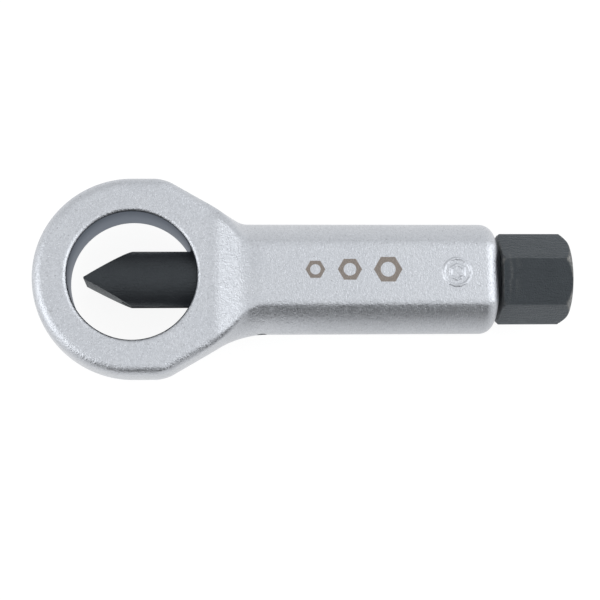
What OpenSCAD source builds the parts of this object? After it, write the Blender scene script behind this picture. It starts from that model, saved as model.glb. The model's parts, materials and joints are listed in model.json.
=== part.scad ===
// Nut splitter: a forged ring with a shank, a sliding chisel, and a pressure screw
// that drives the chisel through a ball. A pin in the shank keeps the chisel from turning.
// Tool axes: x from the centre of the nut hole along the screw, y across, z up.
// The part's origin lies under the middle of the tool, on the surface that it rests on.

/* [Ring] */
// Diameter of the hole that takes the nut
nut_hole_d = 27; // [25:0.1:29]
// Wall of the ring around the nut hole
ring_wall = 7.6; // [6:0.1:9]
// Thickness of the ring
ring_t = 14.4; // [13:0.1:16]
// Rounding of the outer edges of the ring
ring_edge_r = 2; // [0.5:0.1:3]
// How far the side of the ring swells out at half its thickness
ring_bulge = 0.6; // [0:0.1:1.2]
// Bevel on both rims of the nut hole
rim_bevel = 0.6; // [0.1:0.05:0.8]

/* [Neck] */
// Slope of the sides that narrow from the ring to the shank, in degrees
taper_angle = 30; // [27:1:36]
// Distance from the nut hole's centre to the middle of the shoulders
shoulder_x = 5.4; // [3:0.1:8]
// Rounding of the shoulders
shoulder_r = 5; // [3.5:0.1:8]
// Hollow rounding between the taper and the shank
neck_r = 9; // [5:0.5:14]
// Distance from the nut hole's centre to the top of the ramp
ramp_x = 23.8; // [22:0.1:27]
// Slope of the ramp from the ring's face up to the shank's flat, in degrees
ramp_angle = 24; // [20:1:40]

/* [Shank] */
// Diameter of the round shank
shank_d = 23.5; // [22:0.1:26]
// Thickness over the two flats of the shank
shank_t = 20; // [19:0.1:21.5]
// Distance from the nut hole's centre to the end of the shank
shank_reach = 76.9; // [72:0.1:90]
// Rounding of the shank's end
shank_end_r = 3; // [1:0.1:3.5]

/* [Chisel] */
// Diameter of the chisel
chisel_d = 12; // [11:0.1:12.2]
// Angle between the two faces of the cutting wedge, in degrees
wedge_angle = 60; // [50:1:75]
// Width of the flat land along the cutting edge
edge_land = 0.3; // [0.1:0.05:0.8]
// How far the cutting edge is ground off the chisel's axis
edge_offset = 0.4; // [0:0.05:0.8]
// How far the cutting edge stands past the nut hole's centre at rest
tip_reach = 10.1; // [7:0.1:12]
// Width of the keyway under the chisel
key_w = 2.2; // [2.1:0.05:3]
// Depth of the keyway
key_depth = 1.2; // [0.8:0.05:1.6]
// Bevel at the blunt end of the chisel
chisel_bevel = 0.6; // [0.2:0.1:1.2]

/* [Pressure screw] */
// Outside diameter of the thread
thread_d = 14; // [14:0.5:16]
// Pitch of the thread
thread_pitch = 1.5; // [1:0.25:2]
// Length of the screw under its head
screw_len = 39.8; // [36:0.1:44]
// Width across the flats of the head
head_af = 17; // [16:0.5:19]
// Length of the head
head_len = 15; // [10:0.5:20]
// Diameter of the flat end of the head, inside its bevel
head_end_d = 16.7; // [14:0.1:16.8]
// Slope of the bevel at the end of the head, from the axis, in degrees
head_bevel_angle = 45; // [30:1:60]
// Bevel of the head's corners on the side of the shank
head_back_bevel = 0.6; // [0.2:0.1:1]
// Gap between the head and the end of the shank at rest
head_gap = 0.9; // [0.2:0.1:3]
// Turn of the head at rest, in degrees
head_turn = 12; // [0:1:59]

/* [Thrust ball] */
// Diameter of the ball between the screw and the chisel
ball_d = 6; // [4:0.5:8]
// Gap between the nose of the screw and the end of the chisel
thrust_gap = 1; // [0.5:0.1:2]

/* [Guide pin] */
// Diameter of the guide pin
pin_d = 2; // [1.5:0.1:2]
// Distance from the nut hole's centre to the guide pin
pin_x = 27.2; // [26:0.1:30]
// Depth of the pin's outer end below the shank's side
pin_recess = 0.6; // [0.2:0.1:1.5]

/* [Size mark] */
// Distance from the middle of the mark to the end of the shank
mark_inset = 9.8; // [6:0.1:15]
// Diameter of the raised ring
mark_d = 6.2; // [4:0.1:8]
// Width across the flats of the raised hexagon in the ring
mark_hex_af = 2.8; // [1.5:0.1:4]
// Width of the raised lines
mark_line = 0.5; // [0.3:0.1:1]
// Height of the raised lines above the flat
mark_h = 0.25; // [0.1:0.05:0.5]

/* [Fits] */
// Clearance all round the chisel in its bore
slide_fit = 0.05; // [0.02:0.01:0.1]
// Clearance all round the screw in its bore
thread_fit = 0.05; // [0.02:0.01:0.1]
// Clearance all round the ball in its seats
ball_fit = 0.05; // [0.02:0.01:0.1]
// Clearance all round the guide pin in its hole
pin_fit = 0.01; // [0.01:0.01:0.05]
// Gap between the guide pin and the keyway's floor and end
key_gap = 0.2; // [0.1:0.05:0.4]
// Distance that the tapped bore runs past the nose of the screw
tap_runout = 1.5; // [0.5:0.1:4]

/* [Hidden] */

$fn = 96;
hull_fn = 48;
arc_step = 15;
bulge_steps = 3;
// Overlap that carries a cut past the surface that it opens
cut = 1;

nut_hole_r = nut_hole_d / 2;
ring_r = nut_hole_r + ring_wall;
shank_r = shank_d / 2;
chisel_r = chisel_d / 2;
thread_r = thread_d / 2;
ball_r = ball_d / 2;
pin_r = pin_d / 2;

// The taper is the line where taper_normal * point equals taper_offset
taper_normal = [sin(taper_angle), cos(taper_angle)];
shoulder = [shoulder_x, ring_r - shoulder_r];
taper_offset = taper_normal * shoulder + shoulder_r;
function taper_x(y, inset = 0) = (taper_offset - inset - y * taper_normal[1]) / taper_normal[0];
function taper_y(x) = (taper_offset - x * taper_normal[0]) / taper_normal[1];

// Two small discs carry the end of the taper into the shank
neck_disc_flat = 1;
neck_disc_r = ring_bulge + ring_edge_r + neck_disc_flat;
neck_disc_y = shank_r / 2;
// Centre of the hollow rounding, which starts just inside the taper and ends on the shank's side
neck_bite = 0.15;
neck_centre = [taper_x(shank_r + neck_r, neck_bite - neck_r), shank_r + neck_r];

ramp_foot_x = ramp_x - (shank_t - ring_t) / 2 / tan(ramp_angle);

head_x = shank_reach + head_gap;
head_end_x = head_x + head_len;
head_corner_r = head_af / 2 / cos(30);
nose_x = head_x - screw_len;
chisel_end_x = nose_x - thrust_gap;
ball_x = nose_x - thrust_gap / 2;
tap_x = nose_x - head_gap - tap_runout;
// The keyway ends behind the pin, so that the head meets the shank first
key_end_x = pin_x + head_gap + pin_r + key_gap;

thread_depth = 0.6134 * thread_pitch;
thread_root_r = thread_r - thread_depth;
relief_len = 2 * thread_pitch;
thread_turns = floor((screw_len - relief_len - thread_depth) / thread_pitch);

middle_x = (head_end_x - ring_r) / 2;

// Moves the tool from its own axes to the part's origin
module place() {
    translate([-middle_x, 0, shank_t / 2]) children();
}

// Turns a shape that stands along z so that it lies along x
module along_x(x = 0) {
    translate([x, 0, 0]) rotate([0, 90, 0]) children();
}

function arc(centre, r, from, to) =
    [for (i = [0 : 90 / arc_step]) let (a = from + (to - from) * i * arc_step / 90)
        centre + r * [cos(a), sin(a)]];

// Disc as thick as the ring, with the ring's swollen side and rounded edges
module rounded_disc(r) {
    rim = r - ring_bulge - ring_edge_r;
    half = ring_t / 2 - ring_edge_r;
    swell = [for (i = [1 - bulge_steps : bulge_steps - 1]) let (t = i / bulge_steps)
        [r - ring_bulge * t * t, half * t]];
    rotate_extrude($fn = hull_fn)
        polygon(concat([[0, -ring_t / 2]],
                       arc([rim, -half], ring_edge_r, -90, 0),
                       swell,
                       arc([rim, half], ring_edge_r, 0, 90),
                       [[0, ring_t / 2]]));
}

module ring_and_taper() {
    hull() {
        rounded_disc(ring_r);
        for (side = [-1, 1]) {
            translate([shoulder[0], side * shoulder[1], 0]) rounded_disc(shoulder_r);
            translate([taper_x(neck_disc_y, neck_disc_r), side * neck_disc_y, 0]) rounded_disc(neck_disc_r);
        }
    }
}

// Round bar with two flats. It flares where it meets the taper, and both faces ramp down to the ring
module shank() {
    sunk_t = ring_t - 2 * cut;
    start_x = ramp_foot_x - cut / tan(ramp_angle);
    start_r = taper_y(start_x) - neck_bite / taper_normal[1];
    end = shank_reach - start_x;
    neck_arc = arc([neck_centre[1], neck_centre[0] - start_x], neck_r, 180 + taper_angle, 180);
    end_arc = arc([shank_r - shank_end_r, end - shank_end_r], shank_end_r, 0, 90);
    intersection() {
        along_x(start_x)
            rotate_extrude()
                polygon(concat([[0, 0], [start_r, 0]], neck_arc, end_arc, [[0, end]]));
        rotate([90, 0, 0])
            linear_extrude(height = 2 * ring_r, center = true)
                polygon([[start_x, -sunk_t / 2],
                         [ramp_x, -shank_t / 2],
                         [shank_reach + cut, -shank_t / 2],
                         [shank_reach + cut, shank_t / 2],
                         [ramp_x, shank_t / 2],
                         [start_x, sunk_t / 2]]);
    }
}

// Raised ring with a hexagon in it, on the upper flat
module size_mark() {
    translate([shank_reach - mark_inset, 0, shank_t / 2 - cut])
        linear_extrude(height = cut + mark_h) {
            difference() {
                circle(d = mark_d);
                circle(d = mark_d - 2 * mark_line);
            }
            difference() {
                circle(d = mark_hex_af / cos(30), $fn = 6);
                circle(d = mark_hex_af - 2 * mark_line);
            }
        }
}

module nut_hole() {
    cylinder(r = nut_hole_r, h = ring_t + 2 * cut, center = true);
    for (side = [0, 1])
        mirror([0, 0, side])
            translate([0, 0, ring_t / 2 - rim_bevel])
                cylinder(r1 = nut_hole_r, r2 = nut_hole_r + rim_bevel + cut, h = rim_bevel + cut);
}

module screw_bores() {
    along_x()
        cylinder(r = chisel_r + slide_fit, h = tap_x + cut);
    along_x(tap_x)
        cylinder(r = thread_r + thread_fit, h = shank_reach - tap_x + cut);
    along_x(shank_reach - thread_depth)
        cylinder(r1 = thread_r + thread_fit, r2 = thread_r + thread_fit + thread_depth + cut,
                 h = thread_depth + cut);
}

module pin_hole() {
    translate([pin_x, 0, 0])
        rotate([90, 0, 0])
            cylinder(r = pin_r + pin_fit, h = shank_r + cut);
}

module body() {
    color("#c9cdd4")
        place()
            difference() {
                union() {
                    ring_and_taper();
                    shank();
                    size_mark();
                }
                nut_hole();
                screw_bores();
                pin_hole();
            }
}

module keyway() {
    floor_y = chisel_r - key_depth;
    translate([key_end_x - key_w / 2, -floor_y, 0])
        rotate([90, 0, 0])
            cylinder(d = key_w, h = key_depth + cut);
    translate([-tip_reach - cut, -chisel_r - cut, -key_w / 2])
        cube([key_end_x - key_w / 2 + tip_reach + cut, key_depth + cut, key_w]);
}

module ball_seat() {
    translate([ball_x, 0, 0]) sphere(r = ball_r + ball_fit);
}

module chisel() {
    start_x = -tip_reach - cut;
    length = chisel_end_x - start_x;
    wedge_r = chisel_r + cut;
    wedge_len = (wedge_r - edge_land / 2) / tan(wedge_angle / 2);
    color("#3a3c40")
        place()
            difference() {
                intersection() {
                    along_x(start_x)
                        rotate_extrude()
                            polygon([[0, 0],
                                     [chisel_r, 0],
                                     [chisel_r, length - chisel_bevel],
                                     [chisel_r - chisel_bevel, length],
                                     [0, length]]);
                    linear_extrude(height = 2 * wedge_r, center = true)
                        polygon([[-tip_reach, -edge_offset - edge_land / 2],
                                 [wedge_len - tip_reach, -wedge_r],
                                 [chisel_end_x + cut, -wedge_r],
                                 [chisel_end_x + cut, wedge_r],
                                 [wedge_len - tip_reach, wedge_r],
                                 [-tip_reach, edge_land / 2 - edge_offset]]);
                }
                keyway();
                ball_seat();
            }
}

// The thread as a row of ridges: crest an eighth and root a quarter of the pitch wide
module threaded_shaft() {
    along_x(nose_x)
        rotate_extrude()
            polygon(concat([[0, 0], [thread_root_r, 0]],
                           [for (turn = [0 : thread_turns - 1])
                               let (start = thread_depth + turn * thread_pitch)
                               each [[thread_root_r, start],
                                     [thread_r, start + thread_pitch * 5 / 16],
                                     [thread_r, start + thread_pitch * 7 / 16],
                                     [thread_root_r, start + thread_pitch * 12 / 16]]],
                           [[thread_root_r, screw_len + cut], [0, screw_len + cut]]));
}

module hex_head() {
    envelope_r = head_corner_r + cut;
    bevel_len = (envelope_r - head_end_d / 2) / tan(head_bevel_angle);
    along_x(head_x)
        intersection() {
            rotate([0, 0, head_turn - 30])
                cylinder(r = head_corner_r, h = head_len + cut, $fn = 6);
            translate([0, 0, -cut])
                rotate_extrude()
                    polygon([[0, 0],
                             [head_corner_r - head_back_bevel - cut, 0],
                             [envelope_r, 2 * cut + head_back_bevel],
                             [envelope_r, cut + head_len - bevel_len],
                             [head_end_d / 2, cut + head_len],
                             [0, cut + head_len]]);
        }
}

module pressure_screw() {
    color("#4b4d51")
        place()
            difference() {
                union() {
                    threaded_shaft();
                    hex_head();
                }
                ball_seat();
            }
}

module guide_pin() {
    inner_y = chisel_r - key_depth + key_gap;
    color("#8f949a")
        place()
            translate([pin_x, -inner_y, 0])
                rotate([90, 0, 0])
                    cylinder(r = pin_r, h = shank_r - pin_recess - inner_y);
}

module thrust_ball() {
    color("#d8dade")
        place()
            translate([ball_x, 0, 0]) sphere(r = ball_r);
}

body();
chisel();
pressure_screw();
guide_pin();
thrust_ball();
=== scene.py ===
"""Nut splitter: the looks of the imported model.

Shapes are worked out in the tool's own axes, in millimetres: x from the centre of the nut hole
along the screw, y across, z up. to_row() turns them into the row frame, in metres.
"""

import json
import math

import bmesh
import bpy
import numpy as np
from mathutils import Matrix, Vector


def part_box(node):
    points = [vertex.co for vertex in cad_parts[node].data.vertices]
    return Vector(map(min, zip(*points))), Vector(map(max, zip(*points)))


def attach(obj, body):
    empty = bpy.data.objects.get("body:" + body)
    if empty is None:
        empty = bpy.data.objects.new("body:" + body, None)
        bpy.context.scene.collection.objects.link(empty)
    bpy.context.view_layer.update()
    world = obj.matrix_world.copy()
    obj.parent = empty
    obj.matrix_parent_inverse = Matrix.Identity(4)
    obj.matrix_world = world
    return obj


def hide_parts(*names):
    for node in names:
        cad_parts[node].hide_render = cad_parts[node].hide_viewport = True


MM = 0.001
HALF_SECTOR = math.pi / 6

# Ring and neck. RIM_PLATED is the share of the hole's rounded rim that is plated
NUT_HOLE_R = 13.5
RING_T = 14.4
RING_EDGE_R = 2.0
RING_BULGE = 0.6
RIM_R = 0.95
RIM_PLATED = 0.5
TAPER_ANGLE = math.radians(30)
SHOULDER_X = 5.4
SHOULDER_R = 5.0
SHOULDER_BLEND = 1.0
RAMP_ANGLE = math.radians(21)
RAMP_X = 24.3
RAMP_FOOT_BLEND = 0.5
RAMP_TOP_BLEND = 0.9
NECK_BLEND = 0.6
NECK_BLEND_FRONT = 2.5
NECK_START_X = 16.0
NECK_END_X = 24.5

# Shank
SHANK_R = 11.75
FLAT_EDGE_BLEND = 0.5
SHANK_END_R = 3.0
TAPPED_R = 7.05
TAP_X = 35.6
TAP_CHAMFER = 0.9
PIN_X = 27.2
PIN_HOLE_R = 1.01

# Chisel
CHISEL_R = 6.0
CHISEL_BORE_R = 6.05
CHISEL_BACK_BEVEL = 0.6
CHISEL_EDGE_R = 0.12
WEDGE_HALF_ANGLE = math.radians(30)
EDGE_LAND = 0.3
EDGE_OFFSET = 0.4
KEY_W = 2.2
KEY_DEPTH = 1.2
KEY_END_X = 29.3

# Screw. Half a crest and the run of a flank are shares of the pitch
THREAD_R = 7.0
THREAD_PITCH = 1.5
THREAD_DEPTH = 0.6134 * THREAD_PITCH
THREAD_ROOT_R = THREAD_R - THREAD_DEPTH
THREAD_RELIEF = 2 * THREAD_PITCH
HALF_CREST = 1 / 16
FLANK_RUN = 5 / 16
NOSE_BEVEL = 0.6
BALL_FIT = 0.05
HEAD_AF = 17.0
HEAD_LEN = 15.0
HEAD_CORNER_R = 0.3
HEAD_EDGE_R = 0.25
HEAD_BACK_BEVEL = 0.6
HEAD_BACK_STEP = 0.4
HEAD_END_R = 8.35
HEAD_END_STEP = 0.02
HEAD_BEVEL_ANGLE = math.radians(45)
HEAD_TURN = math.radians(12)
HEAD_FACE_RIM = 0.9
HEAD_FACE_R = 4.0

# Bare metal on the screw's head, as amounts from 0 to 1 and widths. A scratch has its place from the head's
# back, its width and its amount. A wave in the scratches has its height and its number round the head
CORNER_WEAR = 0.3
CORNER_WEAR_SPREAD = 1.2
CORNER_WEAR_BACK_W = 0.5
CORNER_WEAR_END_W = 1.2
BACK_RIM_WEAR = 0.25
BACK_RIM_W = 0.15
BEVEL_WEAR = 0.5
BEVEL_RIM_WEAR = 0.4
BEVEL_RIM_W = 0.1
END_EDGE_WEAR = (0.6, 0.9)
END_FACE_WEAR = 0.04
SCRATCHES = ((1.5, 0.3, 0.14), (2.8, 0.2, 0.07))
SCRATCH_WAVES = ((0.2, 5), (0.12, 13))
SCRATCHED_SIDE_POWER = 6

# Size mark. Its plateau, its rise and its sink are shares of its height
MARK_INSET = 9.2
MARK_R = 3.1
MARK_HEX_AF = 2.8
MARK_LINE = 0.45
MARK_LINE_INSET = 0.6 * MARK_LINE
MARK_PLATEAU = 0.2
MARK_RISE = 0.95
MARK_SINK = 0.05
MARK_SLOPE_W = 0.4
MARK_SKIRT_W = 0.6
MARK_ROOT = 0.5
MARK_FIRST_R = 0.06

# Nuts etched in a row into the upper flat: each nut's place along x and its width across flats
ETCHED_NUTS = ((38.0, 3.6), (45.2, 4.4), (53.2, 5.2))
ETCH_Y = 0.6
ETCH_BORE = 0.3
ETCH_SOFT = 0.05

# Dark seam across each flat, at the top of the ramp. The pairs say where it starts and where it is full:
# its half width, and the depth below the flat
SEAM_X = 24.8
SEAM_HALF_W = (0.6, 0.1)
SEAM_DEPTH = (0.2, 0.05)

# Mesh steps, angles in degrees
BODY_STEP = 0.4
NET_PULLS = 4
NET_LEAST_SLOPE = 0.2
HOLE_SEGMENTS = 192
PIN_SEGMENTS = 32
CUT_PAST = 1.5
WELD = 0.001
SEAT_STEPS = 12
SEAT_START = 2
HEX_SAMPLES = 24
HEX_CROWDING = 0.85
THREAD_RINGS = 12
HEAD_RINGS = np.concatenate([np.arange(0, 0.3, 0.05), np.arange(0.3, 2.7, 0.1), np.linspace(2.8, 12, 8),
                             np.arange(12.08, HEAD_LEN - 0.1, 0.08)])
HEAD_END_TURNS = np.linspace(30, 90, 5)
MARK_COLUMNS = 144
MARK_ROWS = 84
BODY_SHARP = 32
CHISEL_SHARP = 25
SCREW_SHARP = 28

# Colours
PLATE_DARK = (0.555, 0.577, 0.616, 1)
PLATE_LIGHT = (0.628, 0.646, 0.68, 1)
PLATE_SPECKLE = (0.4, 0.415, 0.44, 1)
PLATE_PIT = (0.26, 0.265, 0.28, 1)
ETCH_COLOUR = (0.21, 0.178, 0.152, 1)
# Bore colours: turned steel painted darker than the plating, as painted shade inside the bores; the third is
# painted shade that darkens the bores towards the top
BORE_DARK = (0.26, 0.283, 0.312, 1)
BORE_LIGHT = (0.34, 0.363, 0.4, 1)
BORE_PAINTED_SHADE = (0.1, 0.11, 0.124, 1)
BORE_GLOSS_TINT = (0.4, 0.42, 0.46, 1)
CHISEL_DARK = (0.012, 0.0128, 0.0142, 1)
CHISEL_LIGHT = (0.02, 0.021, 0.023, 1)
CHISEL_WORN = (0.3, 0.29, 0.28, 1)
SCREW_DARK = (0.009, 0.0102, 0.0115, 1)
SCREW_LIGHT = (0.018, 0.02, 0.0222, 1)
SCREW_WORN = (0.36, 0.34, 0.31, 1)
OXIDE_GLOSS_TINT = (0.8, 0.91, 1, 1)
OXIDE_SHEEN_TINT = (0.85, 0.93, 1, 1)
PIN_DARK = (0.42, 0.43, 0.45, 1)
PIN_LIGHT = (0.55, 0.56, 0.58, 1)
WHITE = (1, 1, 1, 1)
ROOM_TINT = (0.985, 0.992, 1.0, 1)
FLOOR_LIT = (0.8, 0.8, 0.8, 1)
FLOOR_SHADED = (0.14, 0.14, 0.14, 1)

# Stretched grain: the scales of its noise along x, y and z
BORE_GRAIN = (60, 60, 5200)
OXIDE_GRAIN = (0.15, 1, 1)

# Painted shade in the bores, darker towards the top: where it starts and where it is full, in height above
# the screw's axis
BORE_PAINTED_SHADE_Z = (-3, 7)

# Camera, as found from the rims of the nut hole and the outline: in tool axes, for a picture of 600 pixels
CAMERA_TARGET = (35.424, -4.384, 0.0)
CAMERA_DISTANCE = 330.0
CAMERA_TILT = math.radians(8.225)
CAMERA_YAW = math.radians(-4.056)
CAMERA_ROLL = math.radians(-0.15)
CAMERA_FOCAL_PX = 1547.1
CAMERA_NEAREST = 10.0
PICTURE_PX = 600
SENSOR_MM = 36.0

# Light. A soft box has its direction, the cosines where it is full and where it ends, and its power.
# The other pairs say where a shade starts and where it is full, along one axis of the direction
SKY_LEVEL = 0.9
SKY_SLOPE = 1.0
SKY_SLOPE_END = 0.2
SOFT_BOXES = (((-0.9, -0.3, 0.3), 0.95, 0.67, 1.55),
              ((0.88, 0.05, 0.44), 0.95, 0.72, 1.15))
BOX_FOOT_Z = (0.15, 0.42)
BACK_SHADE = 0.16
BACK_Y = (0.3, 0.7)
BACK_Z = (0.65, 0.25)
FRONT_SHADE = 0.96
FRONT_Y = (0.25, 0.75)
FRONT_Z = (0.78, 0.42)
FRONT_X = (0.8, 0.4)

# Floor, in metres, and its glow where the tool mirrors it: less in front, on the right most of all, and more
# beyond both ends
FLOOR_REACH = 2.0
FLOOR_DROP = 0.02 * MM
FLOOR_GLOW = 0.9
FLOOR_FRONT_Y = (-0.01, 0.07)
FLOOR_FRONT_LEFT = -0.08
FLOOR_FRONT_RIGHT = -0.44
FLOOR_RIGHT_X = (-0.012, 0.012)
FLOOR_SIDES_X = (0.06, 0.12)
FLOOR_SIDES_GLOW = 0.12

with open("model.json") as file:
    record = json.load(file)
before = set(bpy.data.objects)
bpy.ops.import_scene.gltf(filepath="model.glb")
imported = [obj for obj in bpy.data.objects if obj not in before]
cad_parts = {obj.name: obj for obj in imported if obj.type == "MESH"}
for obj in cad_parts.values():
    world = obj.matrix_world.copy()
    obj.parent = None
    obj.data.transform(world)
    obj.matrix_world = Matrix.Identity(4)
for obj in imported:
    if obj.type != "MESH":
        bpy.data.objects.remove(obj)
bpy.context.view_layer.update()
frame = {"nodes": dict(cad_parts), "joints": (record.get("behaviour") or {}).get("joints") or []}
body_low, body_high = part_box("body")
screw_low, screw_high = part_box("pressure_screw")
chisel_low, chisel_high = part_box("chisel")
ball_low, ball_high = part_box("thrust_ball")
axis_z = next(j for j in frame["joints"] if j["name"] == "screw_turn")["pos_m"][2]
ring_r = body_high.y / MM
origin = Vector((body_low.x + body_high.y, 0, axis_z))
flat_z = (axis_z - body_low.z) / MM
shank_end_x = (body_high.x - origin.x) / MM
mark_h = (body_high.z - 2 * axis_z) / MM
head_end_x = (screw_high.x - origin.x) / MM
nose_x = (screw_low.x - origin.x) / MM
tip_x = (chisel_low.x - origin.x) / MM
chisel_end_x = (chisel_high.x - origin.x) / MM
head_x = head_end_x - HEAD_LEN
ball_x = ((ball_low.x + ball_high.x) / 2 - origin.x) / MM
seat_r = (ball_high.x - ball_low.x) / 2 / MM + BALL_FIT


def to_row(points):
    """Tool axes in millimetres to the row frame in metres."""
    return np.asarray(points, float) * MM + np.array(origin)


# Distance functions

def round_max(a, b, r):
    """Where two solids overlap, with the edge between them rounded."""
    corner = np.hypot(np.maximum(a + r, 0), np.maximum(b + r, 0))
    return np.minimum(np.maximum(a, b), -r) + corner


def round_min(a, b, r):
    """Two solids joined, with the hollow between them rounded."""
    return -round_max(-a, -b, r)


def ease(value, low, high):
    """0 below low, 1 above high, and smooth between."""
    t = np.clip((value - low) / (high - low), 0, 1)
    return t * t * (3 - 2 * t)


def body_distance(p):
    """Distance from the forging's surface before any hole is cut, negative inside."""
    x = p[:, 0]
    z = np.abs(p[:, 2])
    half = RING_T / 2
    roundness = ease(x, NECK_START_X, NECK_END_X)
    reach = np.sqrt(p[:, 1]**2 + roundness * z**2)
    swell = RING_BULGE * (1 - roundness) * (z / half)**2
    sine, cosine = math.sin(TAPER_ANGLE), math.cos(TAPER_ANGLE)
    taper_offset = SHOULDER_X * sine + (ring_r - SHOULDER_R) * cosine + SHOULDER_R
    ring = np.hypot(np.minimum(x, 0), reach) - ring_r + swell
    taper = x * sine + reach * cosine - taper_offset + swell
    side = round_max(ring, taper, SHOULDER_BLEND)
    neck_blend = np.where(p[:, 1] < 0, NECK_BLEND_FRONT, NECK_BLEND)
    side = round_min(side, np.maximum(reach - SHANK_R, -x), neck_blend)
    ramp = (z - flat_z) * math.cos(RAMP_ANGLE) - (x - RAMP_X) * math.sin(RAMP_ANGLE)
    raised = round_max(z - flat_z, ramp, RAMP_TOP_BLEND)
    face = round_min(z - half, raised, RAMP_FOOT_BLEND)
    edge = RING_EDGE_R + (FLAT_EDGE_BLEND - RING_EDGE_R) * roundness
    return round_max(round_max(side, face, edge), x - shank_end_x, SHANK_END_R)


def gradient(distance, p, step=0.01):
    """Slope of a distance function at each point."""
    columns = []
    for axis in range(3):
        offset = np.zeros(3)
        offset[axis] = step
        columns.append((distance(p + offset) - distance(p - offset)) / (2 * step))
    return np.stack(columns, -1)


def surface_net(distance, low, high, step):
    """Quads on a distance function's zero surface: one vertex in each cell that the surface crosses."""
    counts = np.ceil((np.array(high) - low) / step).astype(int) + 1
    axes = [low[i] + step * np.arange(counts[i]) for i in range(3)]
    grid = np.stack(np.meshgrid(*axes, indexing="ij"), -1)
    value = distance(grid.reshape(-1, 3)).reshape(counts)
    cells = counts - 1
    total = np.zeros((*cells, 3))
    number = np.zeros(cells)
    crossings = []
    for axis in range(3):
        near = np.take(value, np.arange(counts[axis] - 1), axis)
        far = np.take(value, np.arange(1, counts[axis]), axis)
        crossing = np.argwhere((near < 0) != (far < 0))
        a = near[tuple(crossing.T)]
        b = far[tuple(crossing.T)]
        point = low + step * crossing
        point[:, axis] += step * a / (a - b)
        u, v = (axis + 1) % 3, (axis + 2) % 3
        ring = []
        for du, dv in ((1, 1), (0, 1), (0, 0), (1, 0)):
            cell = crossing.copy()
            cell[:, u] -= du
            cell[:, v] -= dv
            np.add.at(total, tuple(cell.T), point)
            np.add.at(number, tuple(cell.T), 1)
            ring.append(cell)
        crossings.append((np.stack(ring, 1), a < 0))
    used = number > 0
    index = np.full(cells, -1)
    index[used] = np.arange(used.sum())
    vertices = total[used] / number[used][:, None]
    for _ in range(NET_PULLS):
        slope = gradient(distance, vertices)
        reach = distance(vertices) / np.maximum((slope**2).sum(1), NET_LEAST_SLOPE)
        vertices = vertices - slope * reach[:, None]
    quads = []
    for ring, outward in crossings:
        quad = index[tuple(np.moveaxis(ring, -1, 0))]
        quad[~outward] = quad[~outward][:, ::-1]
        quads.append(quad)
    return vertices, np.concatenate(quads)


# Meshes

def make_object(name, vertices, faces, material, sharp_degrees=35):
    """A smooth-shaded object from points in tool axes."""
    mesh = bpy.data.meshes.new(name)
    mesh.from_pydata(to_row(vertices).tolist(), [], [list(f) for f in faces])
    mesh.materials.append(material)
    obj = bpy.data.objects.new(name, mesh)
    bpy.context.scene.collection.objects.link(obj)
    smooth(mesh, sharp_degrees)
    return obj


def smooth(mesh, sharp_degrees):
    """Smooth shading, with edges kept sharp beyond an angle."""
    mesh.polygons.foreach_set("use_smooth", [True] * len(mesh.polygons))
    mesh.set_sharp_from_angle(angle=math.radians(sharp_degrees))
    mesh.update()


def ring_faces(rows, columns):
    """Quads between closed rings of points, with a fan at each end to its own middle point."""
    faces = []
    for row in range(rows - 1):
        for column in range(columns):
            after = (column + 1) % columns
            faces.append((row * columns + column, row * columns + after,
                          (row + 1) * columns + after, (row + 1) * columns + column))
    first, last = rows * columns, rows * columns + 1
    end = (rows - 1) * columns
    for column in range(columns):
        after = (column + 1) % columns
        faces.append((first, after, column))
        faces.append((last, end + column, end + after))
    return faces


def rings_object(name, along, radius, angles, material, sharp_degrees=35):
    """A turned solid along x. along and radius give each ring's place and its radius at each angle."""
    along = np.asarray(along, float)
    radius = np.broadcast_to(radius, (len(along), len(angles)))
    points = np.empty((len(along), len(angles), 3))
    points[..., 0] = along[:, None]
    points[..., 1] = radius * np.cos(angles)
    points[..., 2] = radius * np.sin(angles)
    ends = [[along[0], 0, 0], [along[-1], 0, 0]]
    vertices = np.concatenate([points.reshape(-1, 3), ends])
    return make_object(name, vertices, ring_faces(len(along), len(angles)), material, sharp_degrees)


def lathe(name, profile, material, segments=HOLE_SEGMENTS):
    """A turned solid along x from (x, radius) pairs."""
    angles = np.linspace(0, 2 * math.pi, segments, endpoint=False)
    along, radius = np.array(profile, float).T
    return rings_object(name, along, radius[:, None], angles, material)


def prism(name, outline, low, high, material):
    """An upright solid over an outline in the x-y plane."""
    count = len(outline)
    vertices = [(x, y, z) for z in (low, high) for x, y in outline]
    faces = [tuple(reversed(range(count))), tuple(range(count, 2 * count))]
    faces += [(i, (i + 1) % count, count + (i + 1) % count, count + i) for i in range(count)]
    return make_object(name, vertices, faces, material)


def turn_to(obj, matrix):
    """Turns an object's points about the tool's origin."""
    about = Matrix.Translation(origin) @ matrix.to_4x4() @ Matrix.Translation(-origin)
    obj.data.transform(about)
    return obj


def combine(obj, cutters, operation, sharp_degrees):
    """Applies booleans for good and deletes the cutters."""
    for cutter in cutters:
        modifier = obj.modifiers.new(cutter.name, "BOOLEAN")
        modifier.operation = operation
        modifier.solver = "EXACT"
        modifier.material_mode = "TRANSFER"
        modifier.object = cutter
    depsgraph = bpy.context.evaluated_depsgraph_get()
    mesh = bpy.data.meshes.new_from_object(obj.evaluated_get(depsgraph))
    obj.modifiers.clear()
    obj.data = mesh
    for cutter in cutters:
        bpy.data.objects.remove(cutter)
    weld(mesh)
    smooth(mesh, sharp_degrees)


def weld(mesh):
    """Joins points that a boolean left almost on each other."""
    work = bmesh.new()
    work.from_mesh(mesh)
    bmesh.ops.remove_doubles(work, verts=work.verts, dist=WELD * MM)
    work.to_mesh(mesh)
    work.free()


def arc(centre, r, start, stop, steps=6):
    """Points on an arc, angles in degrees."""
    turns = np.radians(np.linspace(start, stop, steps + 1))
    return [(centre[0] + r * math.cos(t), centre[1] + r * math.sin(t)) for t in turns]


# Materials

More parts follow.
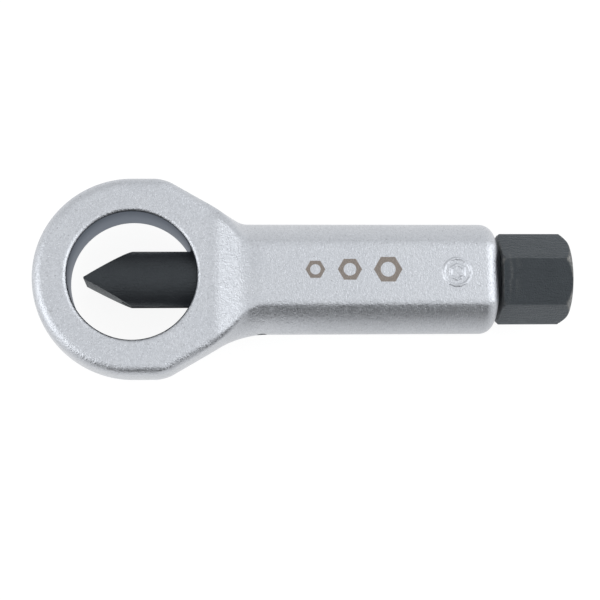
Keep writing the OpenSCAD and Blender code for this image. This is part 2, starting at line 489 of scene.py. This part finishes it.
class Nodes:
    """Short names for building a node tree."""

    def __init__(self, tree):
        self.tree = tree
        tree.nodes.clear()

    def put(self, socket, value):
        """Links an input to another node's socket, or sets its value."""
        if isinstance(value, bpy.types.NodeSocket):
            self.tree.links.new(value, socket)
        else:
            socket.default_value = value

    def add(self, kind, inputs=None, **settings):
        """A node with its settings, and its inputs set to values or linked to sockets."""
        node = self.tree.nodes.new(kind)
        for key, value in settings.items():
            setattr(node, key, value)
        for key, value in (inputs or {}).items():
            self.put(node.inputs[key], value)
        return node

    def math(self, operation, a, b=0.0, c=0.0, clamp=False):
        inputs = {0: a, 1: b, 2: c}
        return self.add("ShaderNodeMath", inputs, operation=operation, use_clamp=clamp).outputs[0]

    def dot(self, vector, direction):
        node = self.add("ShaderNodeVectorMath", {0: vector, 1: direction}, operation="DOT_PRODUCT")
        return node.outputs["Value"]

    def split(self, vector):
        return self.add("ShaderNodeSeparateXYZ", {0: vector}).outputs

    def ramp(self, value, low, high):
        """0 below low, 1 above high, and smooth between."""
        node = self.add("ShaderNodeMapRange", {"Value": value, "From Min": low, "From Max": high},
                        interpolation_type="SMOOTHSTEP")
        return node.outputs["Result"]

    def between(self, value, start, end):
        """start where the value is 0, end where it is 1, and in proportion between."""
        return self.math("MULTIPLY_ADD", value, end - start, start)

    def noise(self, vector, scale, detail=2.0, roughness=0.5):
        node = self.add("ShaderNodeTexNoise",
                        {"Vector": vector, "Scale": scale, "Detail": detail, "Roughness": roughness})
        return node.outputs["Fac"]

    def stretch(self, vector, scale):
        return self.add("ShaderNodeMapping", {"Vector": vector, "Scale": scale}).outputs[0]

    def mix(self, factor, a, b):
        """Colour a where the factor is 0, b where it is 1."""
        node = self.add("ShaderNodeMix", data_type="RGBA")
        for socket, value in zip((node.inputs["Factor"], node.inputs[6], node.inputs[7]), (factor, a, b)):
            self.put(socket, value)
        return node.outputs[2]

    def tint(self, colour, other, mask, amount):
        """A colour that goes over to another, by an amount, where the mask is 1."""
        return self.mix(self.math("MULTIPLY", mask, amount), colour, other)

    def bump(self, height, strength, distance_mm, normal=None):
        inputs = {"Height": height, "Strength": strength, "Distance": distance_mm * MM}
        if normal is not None:
            inputs["Normal"] = normal
        return self.add("ShaderNodeBump", inputs).outputs["Normal"]


def material(name, build):
    """A material whose nodes build(nodes, shader, place) sets up. place is the position in metres."""
    made = bpy.data.materials.new(name)
    made.use_nodes = True
    nodes = Nodes(made.node_tree)
    output = nodes.add("ShaderNodeOutputMaterial")
    shader = nodes.add("ShaderNodeBsdfPrincipled", {"Metallic": 1.0})
    nodes.put(output.inputs["Surface"], shader.outputs[0])
    place = nodes.add("ShaderNodeTexCoord").outputs["Object"]
    build(nodes, shader, place)
    return made


def connect(nodes, shader, **sockets):
    """Links or sets the shader's inputs."""
    for name, value in sockets.items():
        nodes.put(shader.inputs[name.replace("_", " ")], value)


def etched_nuts(nodes, place):
    """1 on the etched nuts, and 0 elsewhere."""
    part = nodes.split(place)
    across = nodes.math("ABSOLUTE", nodes.math("MULTIPLY_ADD", part["Y"], 1 / MM, -ETCH_Y))
    nuts = []
    for x, width in ETCHED_NUTS:
        along = nodes.math("ABSOLUTE", nodes.math("MULTIPLY_ADD", part["X"], 1 / MM, -x - origin.x / MM))
        slanted = nodes.math("MULTIPLY", along, math.cos(HALF_SECTOR))
        slanted = nodes.math("MULTIPLY_ADD", across, math.sin(HALF_SECTOR), slanted)
        outline = nodes.math("SUBTRACT", nodes.math("MAXIMUM", across, slanted), width / 2)
        squares = nodes.math("MULTIPLY_ADD", along, along, nodes.math("MULTIPLY", across, across))
        hole = nodes.math("SUBTRACT", ETCH_BORE * width, nodes.math("SQRT", squares))
        nuts.append(nodes.ramp(nodes.math("MAXIMUM", outline, hole), ETCH_SOFT, -ETCH_SOFT))
    etched = nuts[0]
    for nut in nuts[1:]:
        etched = nodes.math("MAXIMUM", etched, nut)
    upper = nodes.ramp(part["Z"], low=axis_z, high=axis_z + flat_z / 2 * MM)
    return nodes.math("MULTIPLY", etched, upper)


def flat_seam(nodes, place):
    """1 on the seam across each flat, and 0 elsewhere."""
    part = nodes.split(place)
    off_seam = nodes.math("ABSOLUTE", nodes.math("SUBTRACT", part["X"], origin.x + SEAM_X * MM))
    off_axis = nodes.math("ABSOLUTE", nodes.math("SUBTRACT", part["Z"], axis_z))
    across = nodes.ramp(off_seam, *(half_width * MM for half_width in SEAM_HALF_W))
    on_flat = nodes.ramp(off_axis, *((flat_z - depth) * MM for depth in SEAM_DEPTH))
    return nodes.math("MULTIPLY", across, on_flat)


def plated_steel(nodes, shader, place):
    """Forged steel, blasted to a fine grain and plated to a satin silver."""
    grain = nodes.noise(place, scale=3400, detail=2.0, roughness=0.6)
    dents = nodes.noise(place, scale=1300, detail=2.0, roughness=0.5)
    cloud = nodes.noise(place, scale=160, detail=3.0, roughness=0.6)
    speckle = nodes.ramp(nodes.noise(place, scale=2000, detail=4.0, roughness=0.8), low=0.3, high=0.7)
    pits = nodes.ramp(nodes.noise(place, scale=1900, detail=2.0, roughness=0.5), low=0.62, high=0.76)
    colour = nodes.mix(cloud, PLATE_DARK, PLATE_LIGHT)
    colour = nodes.tint(colour, PLATE_SPECKLE, speckle, amount=0.5)
    colour = nodes.tint(colour, PLATE_PIT, pits, amount=0.5)
    colour = nodes.tint(colour, PLATE_PIT, flat_seam(nodes, place), amount=0.3)
    colour = nodes.tint(colour, ETCH_COLOUR, etched_nuts(nodes, place), amount=0.92)
    rough = nodes.between(grain, start=0.2, end=0.4)
    normal = nodes.bump(dents, strength=0.55, distance_mm=0.14)
    normal = nodes.bump(grain, strength=0.8, distance_mm=0.14, normal=normal)
    connect(nodes, shader, Base_Color=colour, Roughness=rough, Normal=normal)


def bored_steel(nodes, shader, place):
    """Turned steel of the bores, with fine rings, painted darker than the plating as painted shade, and with
    more painted shade towards the top.
    """
    rings = nodes.noise(nodes.stretch(place, BORE_GRAIN), scale=1.0, detail=2.0, roughness=0.6)
    # Painted shade: the bore's colour darkens towards the top of the hole
    painted_shade = nodes.ramp(nodes.split(place)["Z"], *(axis_z + height * MM for height in BORE_PAINTED_SHADE_Z))
    colour = nodes.mix(rings, BORE_DARK, BORE_LIGHT)
    colour = nodes.tint(colour, BORE_PAINTED_SHADE, painted_shade, amount=0.5)
    normal = nodes.bump(rings, strength=0.12, distance_mm=0.02)
    connect(nodes, shader, Base_Color=colour, Specular_Tint=BORE_GLOSS_TINT, Roughness=0.34, Normal=normal)


def black_oxide(dark, light, worn, gloss, sheen):
    """Blackened steel, brushed along the tool, and bare where the mesh says that it is worn."""
    def build(nodes, shader, place):
        cloud = nodes.noise(place, scale=260, detail=4.0, roughness=0.6)
        grain = nodes.noise(place, scale=3200, detail=2.0, roughness=0.6)
        brushed = nodes.noise(nodes.stretch(place, OXIDE_GRAIN), scale=2600, detail=3.0, roughness=0.7)
        broken = nodes.ramp(nodes.noise(place, scale=620, detail=5.0, roughness=0.75), low=0.45, high=0.62)
        wear = nodes.add("ShaderNodeAttribute", attribute_name="wear").outputs["Fac"]
        wear = nodes.math("MULTIPLY", wear, nodes.between(broken, start=0.3, end=1.0), clamp=True)
        colour = nodes.mix(wear, nodes.mix(cloud, dark, light), worn)
        rough = nodes.between(brushed, start=0.31, end=0.61)
        normal = nodes.bump(brushed, strength=1.0, distance_mm=0.16)
        normal = nodes.bump(grain, strength=1.0, distance_mm=0.14, normal=normal)
        connect(nodes, shader, Base_Color=colour, Metallic=0.25, Roughness=rough, Normal=normal,
                Specular_IOR_Level=gloss, Specular_Tint=OXIDE_GLOSS_TINT,
                Sheen_Weight=sheen, Sheen_Roughness=0.5, Sheen_Tint=OXIDE_SHEEN_TINT)
    return build


def plain_steel(nodes, shader, place):
    """Ground steel of the pin and the ball."""
    grain = nodes.noise(place, scale=1800, detail=3.0, roughness=0.6)
    colour = nodes.mix(grain, PIN_DARK, PIN_LIGHT)
    normal = nodes.bump(grain, strength=0.1, distance_mm=0.01)
    connect(nodes, shader, Base_Color=colour, Roughness=0.28, Normal=normal)


# Pieces

def nut_hole_cutter(steel, bore):
    """Cutter for the nut hole, with rounded rims whose outer parts are plated."""
    half = RING_T / 2
    wide = NUT_HOLE_R + RIM_R
    rim = [(half - RIM_R + x, wide - y) for x, y in arc((0, 0), RIM_R, 90, 0)]
    profile = [(-x, r) for x, r in reversed(rim)] + rim
    profile = [(-half - CUT_PAST, wide)] + profile + [(half + CUT_PAST, wide)]
    cutter = turn_to(lathe("nut_hole", profile, bore), Matrix.Rotation(-math.pi / 2, 3, "Y"))
    cutter.data.materials.append(steel)
    for face in cutter.data.polygons:
        face.material_index = int(abs(face.center.z - origin.z) > (half - RIM_PLATED * RIM_R) * MM)
    return cutter


def make_body(steel, bore):
    """Forging with its nut hole, its bore for the chisel and the screw, and its pin hole."""
    pad = 2 * BODY_STEP
    low = np.array([-ring_r - pad, -ring_r - pad, -flat_z - pad])
    high = np.array([shank_end_x + pad, ring_r + pad, flat_z + pad])
    vertices, quads = surface_net(body_distance, low, high, BODY_STEP)
    body = make_object("forged_body", vertices, quads, steel)
    nut_hole = nut_hole_cutter(steel, bore)
    screw_bore = lathe("screw_bore", [(0, CHISEL_BORE_R), (TAP_X, CHISEL_BORE_R), (TAP_X, TAPPED_R),
                                      (shank_end_x - TAP_CHAMFER, TAPPED_R),
                                      (shank_end_x + CUT_PAST, TAPPED_R + TAP_CHAMFER + CUT_PAST)], bore)
    pin_hole = lathe("pin_hole", [(0, PIN_HOLE_R), (SHANK_R + CUT_PAST, PIN_HOLE_R)], bore, PIN_SEGMENTS)
    turn_to(pin_hole, Matrix.Rotation(-math.pi / 2, 3, "Z"))
    pin_hole.data.transform(Matrix.Translation((PIN_X * MM, 0, 0)))
    combine(body, [nut_hole, screw_bore, pin_hole], "DIFFERENCE", BODY_SHARP)
    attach(body, "frame")
    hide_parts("body")


def seat_rim_turn(end_x):
    """Angle in degrees, seen from the ball's centre, at which its seat meets a flat end."""
    return math.degrees(math.acos((end_x - ball_x) / seat_r))


def make_chisel(black):
    """Round bar with a wedge at its tip, a keyway along its side and the ball's seat in its back."""
    past = 1
    seat = arc((ball_x, 0), seat_r, seat_rim_turn(chisel_end_x), 180 - SEAT_START, SEAT_STEPS)
    bar = lathe("chisel_bar", [(tip_x - past, CHISEL_R), (chisel_end_x - CHISEL_BACK_BEVEL, CHISEL_R),
                               (chisel_end_x, CHISEL_R - CHISEL_BACK_BEVEL)] + seat, black)
    wide = CHISEL_R + past
    wedge_len = (wide - EDGE_LAND / 2) / math.tan(WEDGE_HALF_ANGLE)
    outline = [(tip_x, -EDGE_OFFSET - EDGE_LAND / 2), (tip_x + wedge_len, -wide),
               (chisel_end_x + past, -wide), (chisel_end_x + past, wide),
               (tip_x + wedge_len, wide), (tip_x, EDGE_LAND / 2 - EDGE_OFFSET)]
    wedge = prism("wedge", outline, -wide, wide, black)
    combine(bar, [wedge], "INTERSECT", CHISEL_SHARP)
    key_y = KEY_DEPTH - CHISEL_R
    key_outline = [(tip_x - past, -wide), (KEY_END_X, -wide), (KEY_END_X, key_y), (tip_x - past, key_y)]
    keyway = prism("keyway", key_outline, -KEY_W / 2, KEY_W / 2, black)
    combine(bar, [keyway], "DIFFERENCE", CHISEL_SHARP)
    bevel = bar.modifiers.new("edges", "BEVEL")
    bevel.width = CHISEL_EDGE_R * MM
    bevel.segments = 2
    bevel.limit_method = "ANGLE"
    bevel.angle_limit = math.radians(CHISEL_SHARP)
    bevel.harden_normals = True
    bar.name = "blackened_chisel"
    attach(bar, "chisel")
    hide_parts("chisel")


def screw_angles():
    """Angles round the screw, crowded together at the hexagon's corners."""
    samples = np.arange(HEX_SAMPLES) / HEX_SAMPLES
    crowded = samples - HEX_CROWDING * np.sin(2 * math.pi * samples) / (2 * math.pi)
    sectors = np.arange(6)[:, None] + crowded
    return (sectors.ravel() + 0.5) * math.pi / 3 + HEAD_TURN


def hex_radius(angles):
    """Radius of the hexagon with rounded corners, and how near each angle is to a corner."""
    from_flat = np.abs((angles - HEAD_TURN) % (2 * HALF_SECTOR) - HALF_SECTOR)
    from_corner = HALF_SECTOR - from_flat
    flat = HEAD_AF / 2 / np.cos(from_flat)
    middle = (HEAD_AF / 2 - HEAD_CORNER_R) / math.cos(HALF_SECTOR)
    tangent = math.atan2(HEAD_CORNER_R * math.sin(HALF_SECTOR),
                         middle + HEAD_CORNER_R * math.cos(HALF_SECTOR))
    inside = np.clip(HEAD_CORNER_R**2 - (middle * np.sin(from_corner))**2, 0, None)
    rounded = middle * np.cos(from_corner) + np.sqrt(inside)
    nearness = np.exp(-(from_corner / (CORNER_WEAR_SPREAD * tangent))**2)
    return np.where(from_corner < tangent, rounded, flat), nearness


def thread_radius(along, angles):
    """Radius of a right-hand thread at each place and angle."""
    turn = (along[:, None] / THREAD_PITCH + angles / (2 * math.pi)) % 1.0
    slope = np.clip((np.abs(turn - 0.5) - HALF_CREST) / FLANK_RUN, 0, 1)
    return THREAD_R - THREAD_DEPTH * slope


def shaft_rings(angles):
    """Places and radii of the shaft's rings: a bevelled nose, the thread and its runout."""
    along = np.arange(nose_x, head_x, THREAD_PITCH / THREAD_RINGS)
    fade = np.clip((head_x - THREAD_RELIEF - along) / THREAD_PITCH, 0, 1)
    runout = THREAD_ROOT_R + THREAD_DEPTH * fade
    nose = THREAD_ROOT_R - NOSE_BEVEL + (along - nose_x)
    radius = np.minimum(thread_radius(along, angles), runout[:, None])
    return along, np.minimum(radius, nose[:, None])


def head_radius(along, hexagon):
    """Radius of the head at each place and angle, and how far its end bevel lies inside the hexagon."""
    from_back = along[:, None] - head_x
    end_cone = HEAD_END_R + (head_end_x - along[:, None]) * math.tan(HEAD_BEVEL_ANGLE)
    back_cone = HEAD_AF / 2 / math.cos(HALF_SECTOR) - HEAD_BACK_BEVEL + from_back
    rounding = np.clip(HEAD_EDGE_R - from_back, 0, None)
    rounding = HEAD_EDGE_R - np.sqrt(HEAD_EDGE_R**2 - rounding**2)
    radius = np.minimum(np.minimum(hexagon, end_cone), back_cone) - rounding
    return radius, hexagon - end_cone


def head_wear(along, angles, corner, bevel):
    """Bare metal on the head: its rims, the ends of its corners and a mark left by spanners on one side."""
    def line(offset, width):
        return np.exp(-(offset / width)**2)

    from_back = along[:, None] - head_x
    from_end = head_end_x - along[:, None]
    corner_ends = corner * (line(from_back, CORNER_WEAR_BACK_W) + line(from_end, CORNER_WEAR_END_W))
    marked_side = np.clip(np.sin(angles), 0, 1)**SCRATCHED_SIDE_POWER
    wander = sum(height * np.sin(waves * angles) for height, waves in SCRATCH_WAVES)
    scratches = sum(amount * line(from_back - place - wander, width) for place, width, amount in SCRATCHES)
    back_rim = BACK_RIM_WEAR * line(from_back, BACK_RIM_W)
    end_bevel = np.where(bevel > 0, BEVEL_WEAR, BEVEL_RIM_WEAR * line(bevel, BEVEL_RIM_W))
    return np.clip(CORNER_WEAR * corner_ends + marked_side * scratches + (back_rim + end_bevel), 0, 1)


def make_screw(black):
    """Pressure screw: the ball's seat in its nose, a threaded shaft and a worn hexagon head."""
    angles = screw_angles()
    seat_x, seat_ring_r = np.array(arc((ball_x, 0), seat_r, SEAT_START, seat_rim_turn(nose_x), SEAT_STEPS)).T
    shaft_x, shaft_r = shaft_rings(angles)
    hexagon, corner = hex_radius(angles)
    side_x = HEAD_RINGS + head_x
    side_r, bevel = head_radius(side_x, hexagon)
    end_turns = np.radians(HEAD_END_TURNS)
    end_x = head_end_x - HEAD_EDGE_R * (1 - np.sin(end_turns))
    end_r = HEAD_END_R - HEAD_EDGE_R * (1 - np.cos(end_turns)) - HEAD_END_STEP
    end_wear = np.linspace(*END_EDGE_WEAR, len(end_r))
    rings = ((seat_x, seat_ring_r[:, None], 0),
             (shaft_x, shaft_r, 0),
             ([head_x], THREAD_ROOT_R, 0),
             ([head_x], THREAD_ROOT_R + HEAD_BACK_STEP, 0),
             (side_x, side_r, head_wear(side_x, angles, corner, bevel)),
             (end_x, end_r[:, None], end_wear[:, None]),
             ([head_end_x], HEAD_END_R - HEAD_FACE_RIM, END_FACE_WEAR),
             ([head_end_x], HEAD_FACE_R, 0))
    along = np.concatenate([x for x, _, _ in rings])
    radius = np.concatenate([np.broadcast_to(r, (len(x), len(angles))) for x, r, _ in rings])
    wear = np.concatenate([np.broadcast_to(w, (len(x), len(angles))) for x, _, w in rings])
    screw = rings_object("blackened_screw", along, radius, angles, black, SCREW_SHARP)
    attribute = screw.data.attributes.new("wear", "FLOAT", "POINT")
    attribute.data.foreach_set("value", np.concatenate([wear.ravel(), [0, 0]]))
    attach(screw, "screw")
    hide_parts("pressure_screw")


def make_size_mark(steel):
    """Soft raised ring with a hexagon in it, which rises out of the flat."""
    angles = np.linspace(2 * math.pi, 0, MARK_COLUMNS, endpoint=False)
    reach = np.linspace(MARK_FIRST_R, MARK_R + MARK_SKIRT_W, MARK_ROWS)[:, None]
    hex_edge = MARK_HEX_AF / 2 / np.cos((angles + HALF_SECTOR) % (2 * HALF_SECTOR) - HALF_SECTOR)

    def ridge(offset):
        return np.clip(1 - (offset / MARK_LINE)**2, 0, None)**2

    lines = np.maximum(ridge(reach - MARK_R + MARK_LINE_INSET), ridge(reach - hex_edge))
    plateau = 1 - ease(reach, MARK_R - MARK_LINE, MARK_R + MARK_SLOPE_W)
    height = mark_h * (MARK_PLATEAU * plateau + (MARK_RISE - MARK_PLATEAU) * lines - MARK_SINK)
    middle_x = shank_end_x - MARK_INSET
    points = np.empty((MARK_ROWS, MARK_COLUMNS, 3))
    points[..., 0] = middle_x + reach * np.cos(angles)
    points[..., 1] = reach * np.sin(angles)
    points[..., 2] = flat_z + height
    root_z = flat_z - MARK_ROOT
    under = points[-1].copy()
    under[:, 2] = root_z
    ends = [[middle_x, 0, flat_z + height[0].mean()], [middle_x, 0, root_z]]
    vertices = np.concatenate([points.reshape(-1, 3), under, ends])
    mark = make_object("size_mark", vertices, ring_faces(MARK_ROWS + 1, MARK_COLUMNS), steel)
    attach(mark, "frame")


def dress_cad_node(name, steel):
    """Gives a CAD node that stays in view its finish."""
    node = frame["nodes"][name]
    node.data.materials.clear()
    node.data.materials.append(steel)


# Stage

def floor_material():
    """White to the camera and in mirrors, with the tool's faint shadow, and pale to all other light."""
    made = bpy.data.materials.new("white_floor")
    made.use_nodes = True
    nodes = Nodes(made.node_tree)
    output = nodes.add("ShaderNodeOutputMaterial")
    path = nodes.add("ShaderNodeLightPath").outputs
    mirrored = nodes.math("MAXIMUM", path["Is Glossy Ray"], path["Is Transmission Ray"])
    seen = nodes.math("MAXIMUM", path["Is Camera Ray"], mirrored)
    part = nodes.split(nodes.add("ShaderNodeTexCoord").outputs["Object"])
    front = nodes.ramp(nodes.math("MULTIPLY", part["Y"], -1.0), *FLOOR_FRONT_Y)
    sides = nodes.ramp(nodes.math("ABSOLUTE", part["X"]), *FLOOR_SIDES_X)
    right = nodes.ramp(part["X"], *FLOOR_RIGHT_X)
    fade = nodes.between(right, start=FLOOR_FRONT_LEFT, end=FLOOR_FRONT_RIGHT)
    mirror_glow = nodes.math("MULTIPLY_ADD", front, fade, FLOOR_GLOW)
    mirror_glow = nodes.math("MULTIPLY_ADD", sides, FLOOR_SIDES_GLOW, mirror_glow)
    strength = nodes.add("ShaderNodeMix", {"Factor": mirrored, "A": FLOOR_GLOW, "B": mirror_glow}).outputs[0]
    lit = nodes.add("ShaderNodeBsdfDiffuse", {"Color": FLOOR_LIT}).outputs[0]
    shaded = nodes.add("ShaderNodeBsdfDiffuse", {"Color": FLOOR_SHADED}).outputs[0]
    glow = nodes.add("ShaderNodeEmission", {"Color": WHITE, "Strength": strength}).outputs[0]
    white = nodes.add("ShaderNodeAddShader", {0: shaded, 1: glow}).outputs[0]
    mixed = nodes.add("ShaderNodeMixShader", {0: seen, 1: lit, 2: white}).outputs[0]
    nodes.put(output.inputs["Surface"], mixed)
    return made


def make_floor():
    """One wide square, a little below the tool's lower flat."""
    mesh = bpy.data.meshes.new("floor")
    signs = ((-1, -1), (1, -1), (1, 1), (-1, 1))
    corners = [(FLOOR_REACH * x, FLOOR_REACH * y, -FLOOR_DROP) for x, y in signs]
    mesh.from_pydata(corners, [], [(0, 1, 2, 3)])
    mesh.materials.append(floor_material())
    floor = bpy.data.objects.new("floor", mesh)
    bpy.context.scene.collection.objects.link(floor)


def make_world():
    """White room with a soft box on each side, dark low down in front and a little darker at the back."""
    world = bpy.data.worlds.new("studio")
    bpy.context.scene.world = world
    world.use_nodes = True
    nodes = Nodes(world.node_tree)
    output = nodes.add("ShaderNodeOutputWorld")
    way = nodes.add("ShaderNodeTexCoord").outputs["Generated"]
    part = nodes.split(way)
    sideways = nodes.math("MINIMUM", nodes.math("MAXIMUM", part["X"], 0.0), SKY_SLOPE_END)
    glow = nodes.math("MULTIPLY_ADD", sideways, SKY_SLOPE, SKY_LEVEL)
    back = nodes.math("MULTIPLY", nodes.ramp(part["Y"], *BACK_Y), nodes.ramp(part["Z"], *BACK_Z))
    glow = nodes.math("MULTIPLY", glow, nodes.between(back, start=1.0, end=1 - BACK_SHADE))
    above = nodes.ramp(part["Z"], *BOX_FOOT_Z)
    for direction, full, outer, power in SOFT_BOXES:
        box = nodes.ramp(nodes.dot(way, Vector(direction).normalized()), outer, full)
        glow = nodes.math("MULTIPLY_ADD", nodes.math("MULTIPLY", box, above), power, glow)
    front = nodes.ramp(nodes.math("MULTIPLY", part["Y"], -1.0), *FRONT_Y)
    low = nodes.ramp(part["Z"], *FRONT_Z)
    ahead = nodes.ramp(nodes.math("ABSOLUTE", part["X"]), *FRONT_X)
    dark = nodes.math("MULTIPLY", nodes.math("MULTIPLY", front, low), ahead)
    glow = nodes.math("MULTIPLY", glow, nodes.between(dark, start=1.0, end=1 - FRONT_SHADE))
    camera = nodes.add("ShaderNodeLightPath").outputs["Is Camera Ray"]
    strength = nodes.add("ShaderNodeMix", {"Factor": camera, "A": glow, "B": 1.0}).outputs[0]
    colour = nodes.mix(camera, ROOM_TINT, WHITE)
    background = nodes.add("ShaderNodeBackground", {"Color": colour, "Strength": strength})
    nodes.put(output.inputs["Surface"], background.outputs[0])


def make_camera():
    """Camera above the tool, a little towards its front and its ring."""
    tilt_s, tilt_c = math.sin(CAMERA_TILT), math.cos(CAMERA_TILT)
    yaw_s, yaw_c = math.sin(CAMERA_YAW), math.cos(CAMERA_YAW)
    back = Vector((yaw_s, -tilt_s * yaw_c, tilt_c * yaw_c))
    right = Vector((0, tilt_c, tilt_s)).cross(back).normalized()
    right = Matrix.Rotation(CAMERA_ROLL, 3, back) @ right
    up = back.cross(right)
    place = Vector(to_row(CAMERA_TARGET)) + back * CAMERA_DISTANCE * MM
    lens = bpy.data.cameras.new("camera")
    lens.sensor_fit = "HORIZONTAL"
    lens.sensor_width = SENSOR_MM
    lens.lens = CAMERA_FOCAL_PX / PICTURE_PX * SENSOR_MM
    lens.clip_start = CAMERA_NEAREST * MM
    camera = bpy.data.objects.new("camera", lens)
    bpy.context.scene.collection.objects.link(camera)
    matrix = Matrix((right, up, back)).transposed().to_4x4()
    matrix.translation = place
    camera.matrix_world = matrix
    bpy.context.scene.camera = camera


def main():
    """The whole scene, piece by piece."""
    bpy.context.scene.view_settings.view_transform = "Standard"
    make_camera()
    steel = material("plated_steel", plated_steel)
    bore = material("bored_steel", bored_steel)
    chisel_oxide = black_oxide(CHISEL_DARK, CHISEL_LIGHT, CHISEL_WORN, gloss=0.6, sheen=0.0)
    chisel_black = material("chisel_black", chisel_oxide)
    screw_oxide = black_oxide(SCREW_DARK, SCREW_LIGHT, SCREW_WORN, gloss=0.75, sheen=0.13)
    screw_black = material("screw_black", screw_oxide)
    plain = material("pin_steel", plain_steel)
    make_body(steel, bore)
    make_chisel(chisel_black)
    make_screw(screw_black)
    make_size_mark(steel)
    dress_cad_node("guide_pin", plain)
    dress_cad_node("thrust_ball", plain)
    make_floor()
    make_world()


main()
